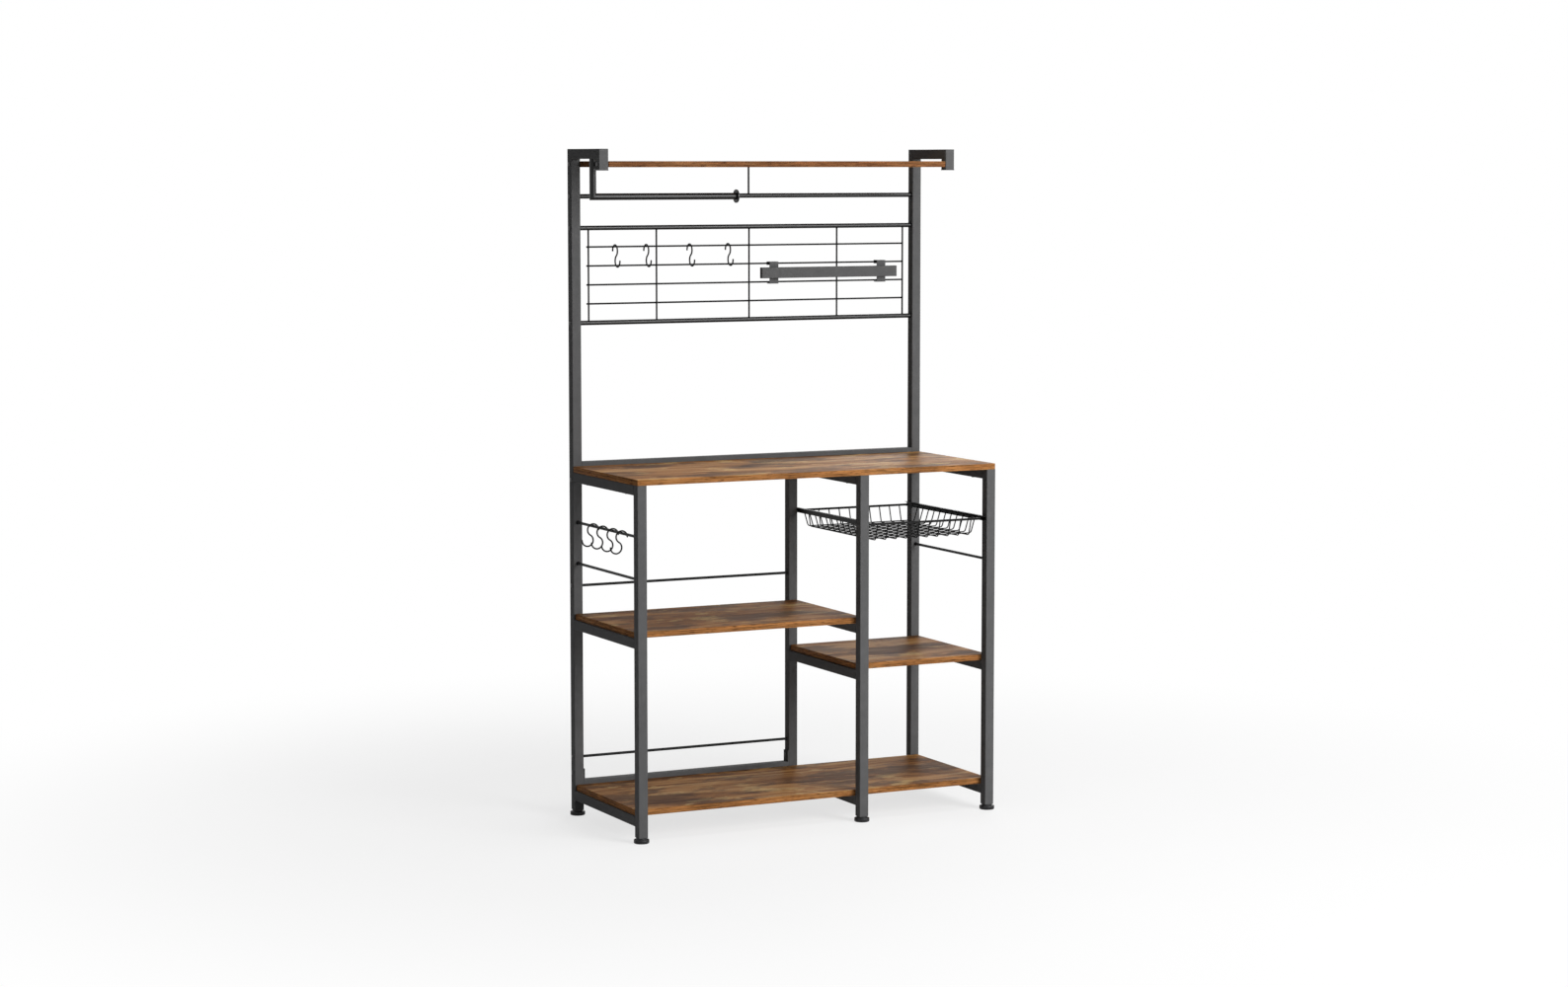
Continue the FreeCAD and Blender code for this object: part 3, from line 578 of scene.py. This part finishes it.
def s_hook(at, out, up, carrier):
    """Two circular arcs of 240 degrees whose circles touch, the lower one a radius further out."""
    hang = HOOK_RADIUS - HOOK_WIRE / 2 - carrier / 2 - HOOK_GAP
    upper = np.radians(np.linspace(*UPPER_ARC, ARC_POINTS))
    lower = np.radians(np.linspace(*LOWER_ARC, ARC_POINTS))[1:]
    aside = np.concatenate([np.cos(upper), 1 + np.cos(lower)]) * HOOK_RADIUS
    rise = np.concatenate([np.sin(upper), np.sin(lower) - math.sqrt(3)]) * HOOK_RADIUS - hang
    path = at + aside[:, None] * np.array(out) + rise[:, None] * np.array(up)
    return wire(path, np.cross(out, up), HOOK_WIRE, HOOK_SIDES)


lean_out = (0.0, -math.cos(PANEL_LEAN), math.sin(PANEL_LEAN))
lean_up = (0.0, math.sin(PANEL_LEAN), math.cos(PANEL_LEAN))
for place, out, up, carrier in (
    ("panel", lean_out, lean_up, panel_wire),
    ("side", (-1.0, 0.0, 0.0), UP, rod),
):
    for i in range(1, HOOK_COUNT + 1):
        node = f"{place}_hook_{i}"
        hook = s_hook(joint_places[f"{node}_swing"], out, up, carrier)
        piece(f"{place}_s_hook_{i}", [hook], wire_coat, f"{node}_body", [node])

# Levelling feet: a fluted disc, a neck and a stud, as radii and heights
FOOT_PROFILE = [
    (15.2, 0.0), (17.8, 0.3), (18.95, 1.3), (19.25, 2.6), (19.25, 4.9), (18.45, 5.3), (18.45, 5.9),
    (19.25, 6.3), (19.25, 8.0), (18.75, 9.4), (17.4, 10.25), (15.8, 10.5), (14.4, 10.6),
    (13.7, 10.9), (13.5, 11.5), (13.5, 13.2), (13.0, 13.7), (4.0, 13.7), (4.0, 29.0), (3.2, 30.0),
]
GRIP_FROM = 18.2
SCALLOPS, HALF_SCALLOP = 30, 0.22
FOOT_SIDES = 4 * SCALLOPS


def grip(angle, radius):
    """Shallow scallops round the disc's rim, none on its neck: half a depth times one plus a cosine."""
    return HALF_SCALLOP * (1 + np.cos(angle * SCALLOPS)) * (radius > GRIP_FROM)


foot = turned(FOOT_PROFILE, FOOT_SIDES, grip)
for end in ("rear", "front"):
    for side in ("left", "middle", "right"):
        node = f"{end}_{side}_foot"
        sweeps = [(foot + joint_places[f"{node}_turn"], False)]
        piece(f"{end}_{side}_levelling_foot", sweeps, plastic, f"{node}_body", [node])

# Button-head bolts with a hexagon socket, on the outer faces of the posts, as radii and heights
HEAD_PROFILE = [
    (5.0, 0.0), (5.0, 0.7), (4.85, 1.3), (4.5, 1.95), (3.95, 2.5), (3.2, 2.9), (2.5, 3.0),
    (1.75, 3.0), (1.55, 2.85), (1.55, 1.3), (0.6, 1.0),
]
HEAD_SIDES = 24
SOCKET_REACH = 1.9
HALF_FLAT = math.pi / 6


def socket_flats(angle, radius):
    """What the rings inside the socket lose to become hexagons, whose radius is the distance to a flat
    over the cosine of the angle from that flat's middle."""
    flat = np.cos((angle + HALF_FLAT) % (2 * HALF_FLAT) - HALF_FLAT)
    return radius * (1 - math.cos(HALF_FLAT) / flat) * (radius < SOCKET_REACH)


head = turned(HEAD_PROFILE, HEAD_SIDES, socket_flats)


def bolt_head(line, way, y, z):
    """The head laid over on a post's face, with its top pointing to the right or to the left."""
    along, across, level = head[..., 2] * way, head[..., 0], head[..., 1] * way
    return np.stack([along, across, level], -1) + (line + way * tube / 2, y, z), False


shelf_level = middle_of("top_shelf")[2]
nut_half = corners_of("plate_nuts")[1][1] - rear_line
low_plate, high_plate = inner_levels("plate_nuts", nut_half)
low_rod, high_rod = inner_levels("rear_rods", rod / 2)
panel_low, panel_high = middle_of("panel_bottom_rail")[2], middle_of("panel_top_rail")[2]
arm_leg = corners_of("top_arm_left")[0][1] + tube / 2
tall_bolts = [shelf_level, middle_of("shelf_rail")[2], panel_high, panel_low, high_plate]
low_bolts = [high_rod, low_rod, low_plate]
bolts = [
    bolt_head(line, way, y, z)
    for line, way, y, heights in (
        (left_line, -1, rear_line, tall_bolts + low_bolts),
        (right_line, 1, rear_line, tall_bolts),
        (middle_line, 1, rear_line, low_bolts),
        (left_line, -1, arm_leg, [shelf_level]),
        (right_line, 1, arm_leg, [shelf_level]),
    )
    for z in heights
]
piece("button_head_bolts", bolts, zinc, "rack", ["frame_bolts"])

# Weld beads round rod and wire ends. The profile goes out from the rod and along it, in bead sizes
BEAD_PROFILE = np.array([(1.0, 0.0), (0.55, 0.12), (0.25, 0.35), (0.1, 0.65), (0.0, 1.0)])
BEAD_SIDES = 28
ROD_BEAD, WIRE_BEAD = 1.6, 1.3
SLOW_RIPPLE, SLOW_WAVES = 0.12, 5
FINE_RIPPLE, FINE_WAVES = 0.08, 11

# Pressed welds where wires cross, as radius and half a thickness
FLASH_SIDES, FLASH_RINGS = 9, 5
FLASH_REACH = 0.92
PANEL_FLASH, FLOOR_FLASH, RIM_FLASH = (2.6, 1.0), (1.7, 0.7), (2.1, 0.8)

# Seams under the side rails' ends. The profile goes out from the post and down from the rail, in sizes
SEAM_PROFILE = np.array([
    (-0.1, -0.1), (-0.1, 1.0), (0.12, 0.62), (0.33, 0.33), (0.62, 0.12), (1.0, -0.1),
])
SEAM_LENGTH, SEAM_SIZE = 21.0, 2.6
SEAM_RINGS = 57
DROPS, DROP_SWELL = 9, 0.16
END_FADE, FADE_POWER = 0.7, 8

# The panel's uprights as shares of the outer ones' place, and how far a bead sinks into a round rail
UPRIGHT_SHARES = np.array([-1, -0.582, 0, 0.566, 1])
LEVEL_COUNT = 4
RAIL_SINK = 0.5


def bead(at, ahead, diameter, size):
    """A fillet round a rod: it starts one size out from the rod on the face that the rod meets, and
    curves in until it lies on the rod one size along it. Two ripples round the rod vary its size."""
    side, up = cross_axes(ahead)
    angle = ring_angles(BEAD_SIDES)
    slow = SLOW_RIPPLE * np.sin(angle * SLOW_WAVES + at[0])
    fine = FINE_RIPPLE * np.sin(angle * FINE_WAVES + at[2])
    rippled = size * (1 + slow + fine)
    radius = diameter / 2 + BEAD_PROFILE[:, :1] * rippled
    along = BEAD_PROFILE[:, 1:] * rippled
    ring = np.cos(angle)[:, None] * side + np.sin(angle)[:, None] * up
    return np.array(at) + radius[..., None] * ring + along[..., None] * np.array(ahead), False


def flash(at, ahead, size):
    """Metal squeezed out where two wires are pressed together: a lens whose radius is the square root
    of a cosine over its thickness, with its axis from one wire to the other."""
    radius, half_thickness = size
    side, up = cross_axes(ahead)
    angle = ring_angles(FLASH_SIDES)[:, None]
    share = np.linspace(-FLASH_REACH, FLASH_REACH, FLASH_RINGS)[:, None, None]
    ring = np.cos(angle) * side + np.sin(angle) * up
    out = radius * np.sqrt(np.cos(share * math.pi / 2)) * ring
    return np.array(at) + out + half_thickness * share * np.array(ahead), False


def seam(at, way):
    """A weld under a rail's end: a hollow fillet between the rail and the post, carried along the
    joint, whose size swells from one laid drop to the next and dies away at both ends."""
    along = np.linspace(-0.5, 0.5, SEAM_RINGS)[:, None]
    drops = 1 + DROP_SWELL * np.abs(np.sin(along * math.pi * DROPS))
    size = SEAM_SIZE * drops * (1 - END_FADE * (2 * along) ** FADE_POWER)
    out, down = SEAM_PROFILE.T
    x = along * SEAM_LENGTH * way + np.zeros_like(out)
    return np.array(at) + np.stack([x, size * out * way, -size * down], -1), False


beads = []
for name in ("left_hook_rod", "left_guard_rod", "right_guard_rod"):
    x, _, z = middle_of(name)
    beads.append(bead((x, front_inside, z), (0, 1, 0), rod, ROD_BEAD))
    beads.append(bead((x, rear_inside, z), (0, -1, 0), rod, ROD_BEAD))
outer = corners_of("panel_upright_wires")[1][0] - panel_wire / 2
uprights = outer * UPRIGHT_SHARES
upright_line = rear_line - panel_wire / 2
under_rail = panel_high - panel_rail / 2 + RAIL_SINK
over_rail = panel_low + panel_rail / 2 - RAIL_SINK
for x in uprights:
    beads.append(bead((x, upright_line, under_rail), (0, 0, -1), panel_wire, WIRE_BEAD))
    beads.append(bead((x, upright_line, over_rail), (0, 0, 1), panel_wire, WIRE_BEAD))
levels = between(panel_low, panel_high, LEVEL_COUNT)
beads += [flash((x, rear_line, z), (0, 1, 0), PANEL_FLASH) for x in uprights for z in levels]
piece("wire_welds", beads, wire_coat, "rack")

floor_level = (low_layer + high_layer) / 2
rim_side = rim_wire / 2 - WELD_BITE
pressed = [flash((x, y, floor_level), UP, FLOOR_FLASH) for x in long_rows for y in cross_rows]
for y in (rim_low[1] + rim_side, rim_high[1] - rim_side):
    pressed += [flash((x, y, rim_level), (0, 1, 0), RIM_FLASH) for x in long_rows]
for x in (rim_low[0] + rim_side, rim_high[0] - rim_side):
    pressed += [flash((x, y, rim_level), (1, 0, 0), RIM_FLASH) for y in cross_rows]
piece("basket_welds", pressed, wire_coat, "basket")

seams = []
for x, boards in (
    (left_line, ("bottom_shelf", "left_shelf", "desk_top")),
    (middle_line, ("bottom_shelf", "right_shelf", "left_shelf", "desk_top")),
    (right_line, ("bottom_shelf", "right_shelf", "desk_top")),
):
    for name in boards:
        underside = corners_of(name)[0][2] - tube
        seams.append(seam((x, front_inside, underside), 1))
        seams.append(seam((x, rear_inside, underside), -1))
piece("frame_welds", seams, tube_coat, "rack")

# Finishes of the solids that stay in sight
TUBE_NODES = [
    "rear_left_post", "rear_right_post", "rear_middle_post",
    "front_left_post", "front_middle_post", "front_right_post",
    "left_side_rails", "middle_side_rails", "right_side_rails",
    "top_arm_left", "top_arm_right", "rear_desk_rail", "rear_bottom_rail", "rear_rail_plates",
    "knife_bar", "knife_clips",
]
BAR_NODES = [
    "shelf_rail", "panel_top_rail", "panel_bottom_rail",
    "towel_drop_tube", "towel_bar", "towel_stop",
]
WIRE_NODES = [
    "left_hook_rod", "left_guard_rod", "right_guard_rod", "rear_rods", "shelf_strut",
    "panel_upright_wires", "panel_level_wires", "basket_runner_left", "basket_runner_right",
]
for material, names in (
    (tube_coat, TUBE_NODES),
    (bar_coat, BAR_NODES),
    (wire_coat, WIRE_NODES),
    (plastic, ["tube_end_caps", "foot_plugs"]),
    (zinc, ["board_screws", "plate_nuts"]),
    (ferrite, ["knife_magnet"]),
):
    for name in names:
        frame["nodes"][name].material_slots[0].material = material

# Studio: a white world that lights softly, four area lamps and a pale floor that fades to white
AMBIENT = 0.06
FLOOR_PROFILE = [
    (300.0, -40.0), (30000.0, -40.0), (30000.0, -0.2), (8000.0, -0.2), (2500.0, -0.2), (300.0, -0.2),
]
FLOOR_SIDES = 64
FLOOR_DARK, FLOOR_LIGHT = (0.70, 0.70, 0.70), (0.73, 0.73, 0.73)
NEAR_WHITE = 0.72

# Distances over which the floor fades, and the lamps' and the camera's places, are in metres
FADE_FROM, FADE_TO = 0.7, 2.6

scene = bpy.context.scene
scene.view_settings.view_transform = "Standard"


def seen_white(tree):
    """1 for rays from the camera, a mirror or a glass, and 0 for the soft light on the rack."""
    seen, mirrored, through = [
        tree.node("ShaderNodeLightPath", out=f"Is {kind} Ray")
        for kind in ("Camera", "Glossy", "Transmission")
    ]
    return seen.most(mirrored).most(through)


scene.world = bpy.data.worlds.new("studio")
studio = Tree(scene.world)
level = AMBIENT + seen_white(studio) * (1 - AMBIENT)
sky = studio.node("ShaderNodeBackground", {}, {"Color": (1, 1, 1, 1), "Strength": level})
studio.node("ShaderNodeOutputWorld", {}, {"Surface": sky})


def lamp(name, at, aim, size, power):
    """A square area lamp turned from its place to a point on the rack."""
    light = bpy.data.lights.new(name, "AREA")
    light.size = size
    light.energy = power
    item = bpy.data.objects.new(name, light)
    item.location = at
    item.rotation_euler = (Vector(aim) - Vector(at)).to_track_quat("-Z", "Y").to_euler()
    scene.collection.objects.link(item)


lamp("key_lamp", at=(2.05, -4.6, 2.9), aim=(0, 0, 0.85), size=2.6, power=285)
lamp("low_lamp", at=(1.9, -4.6, 0.9), aim=(0, 0, 0.6), size=1.6, power=60)
lamp("top_lamp", at=(0.2, -0.6, 4.4), aim=(0, 0, 0.9), size=2.2, power=70)
lamp("rear_lamp", at=(3.2, 3.6, 2.6), aim=(0, 0, 0.9), size=2.4, power=60)

floor_look = new_finish("pale_floor")
floor_spot = floor_look.spot()
distance = floor_look.node("ShaderNodeVectorMath", {"operation": "LENGTH"}, {0: floor_spot}, "Value")
far = distance.rise(FADE_FROM, FADE_TO)
cloud = floor_look.noise(floor_spot, 3.0, 3.0)
matt = floor_look.node("ShaderNodeBsdfPrincipled", {}, {
    "Base Color": floor_look.mix(cloud, FLOOR_DARK, FLOOR_LIGHT),
    "Roughness": 0.8,
})
white = floor_look.node("ShaderNodeEmission", {}, {"Strength": 1.0})
share = seen_white(floor_look) * (NEAR_WHITE + far * (1 - NEAR_WHITE))
mixed = floor_look.node("ShaderNodeMixShader", {}, {0: share, 1: matt, 2: white})
floor_look.node("ShaderNodeOutputMaterial", {}, {"Surface": mixed})
disc = turned(FLOOR_PROFILE, FLOOR_SIDES)
floor = bpy.data.objects.new("floor", mesh_of("floor", [(disc, False)]))
floor.data.materials.append(floor_look.owner)
scene.collection.objects.link(floor)

# Camera at the photograph's viewing angle: its place in metres, its dip and turn in degrees
CAMERA_PLACE = (-3.7460, -7.5167, 1.6596)
CAMERA_DIP, CAMERA_TURN = 5.695, 26.504
SENSOR_WIDTH, FOCAL_LENGTH = 36.0, 76.13

lens = bpy.data.cameras.new("camera")
lens.sensor_width = SENSOR_WIDTH
lens.lens = FOCAL_LENGTH
camera = bpy.data.objects.new("camera", lens)
camera.location = CAMERA_PLACE
camera.rotation_euler = (math.radians(90 - CAMERA_DIP), 0.0, math.radians(-CAMERA_TURN))
scene.collection.objects.link(camera)
scene.camera = camera
